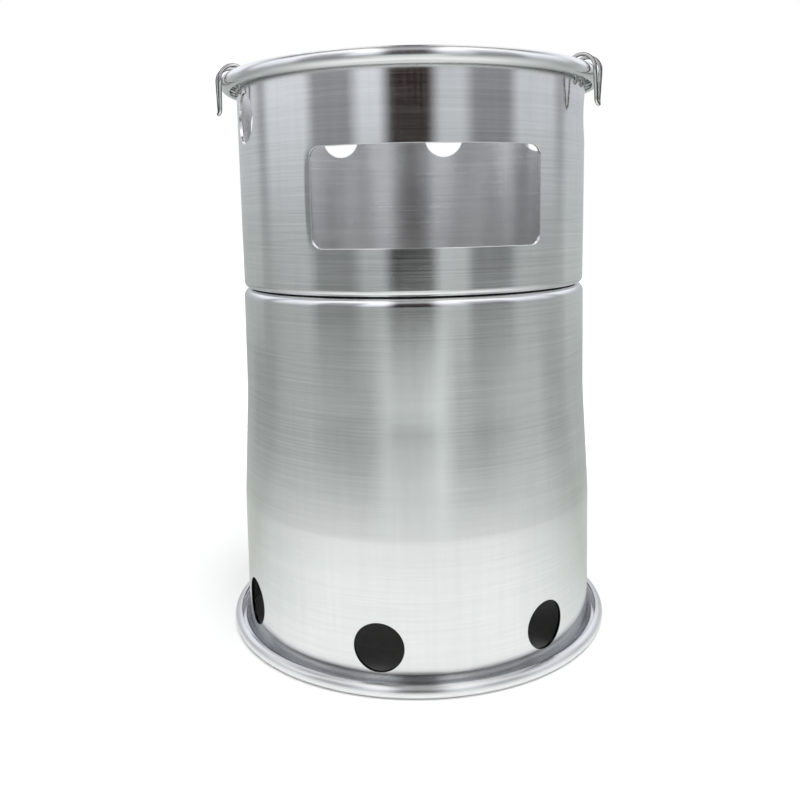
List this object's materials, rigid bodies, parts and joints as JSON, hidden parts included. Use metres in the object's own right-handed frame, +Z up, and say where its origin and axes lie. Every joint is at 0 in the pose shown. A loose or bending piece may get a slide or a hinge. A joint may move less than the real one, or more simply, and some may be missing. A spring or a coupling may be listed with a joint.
{
  "type": "camping wood stove",
  "caption": "Take-apart wood-burning camp stove: two stacked drawn aluminium cups with vents and a feed window, a fire grate and swing-over wire pot supports.",
  "frame": {"origin": "on the ground at the centre of the base rim, under the stove's axis", "axes": "+Z up along the stove's axis, -Y out through the middle of the feed window, +X to the right seen from the window"},
  "size_m": [0.158, 0.158, 0.2261],
  "materials": {
    "aluminium": "satin, turned, with fine brush lines round the cup",
    "grate_steel": "plain punched stainless sheet",
    "wire_steel": "bright drawn stainless wire"
  },
  "bodies": {
    "base": {"lower_body": "aluminium"},
    "chamber": {"upper_body": "aluminium"},
    "grate": {"fire_grate": "grate_steel"},
    "support_left": {"pot_support_left": "wire_steel"},
    "support_right": {"pot_support_right": "wire_steel"},
    "support_rear": {"pot_support_rear": "wire_steel"}
  },
  "joints": [
    {"name": "chamber_lift", "type": "slide", "parent": "base", "child": "chamber", "axis": [0, 0, 1], "range_m": [0, 0.09]},
    {"name": "grate_lift", "type": "slide", "parent": "chamber", "child": "grate", "axis": [0, 0, 1], "range_m": [0, 0.09]},
    {"name": "support_left_swing", "type": "hinge", "parent": "chamber", "child": "support_left", "pos_m": [-0.06942, -0.01731, 0.2205], "axis": [-0.2419, 0.9703, 0], "range_deg": [0, 200]},
    {"name": "support_right_swing", "type": "hinge", "parent": "chamber", "child": "support_right", "pos_m": [0.06101, -0.03738, 0.2205], "axis": [-0.5225, -0.8526, 0], "range_deg": [0, 200]},
    {"name": "support_rear_swing", "type": "hinge", "parent": "chamber", "child": "support_rear", "pos_m": [0.01095, 0.07071, 0.2205], "axis": [0.9882, -0.153, 0], "range_deg": [0, 200]}
  ]
}
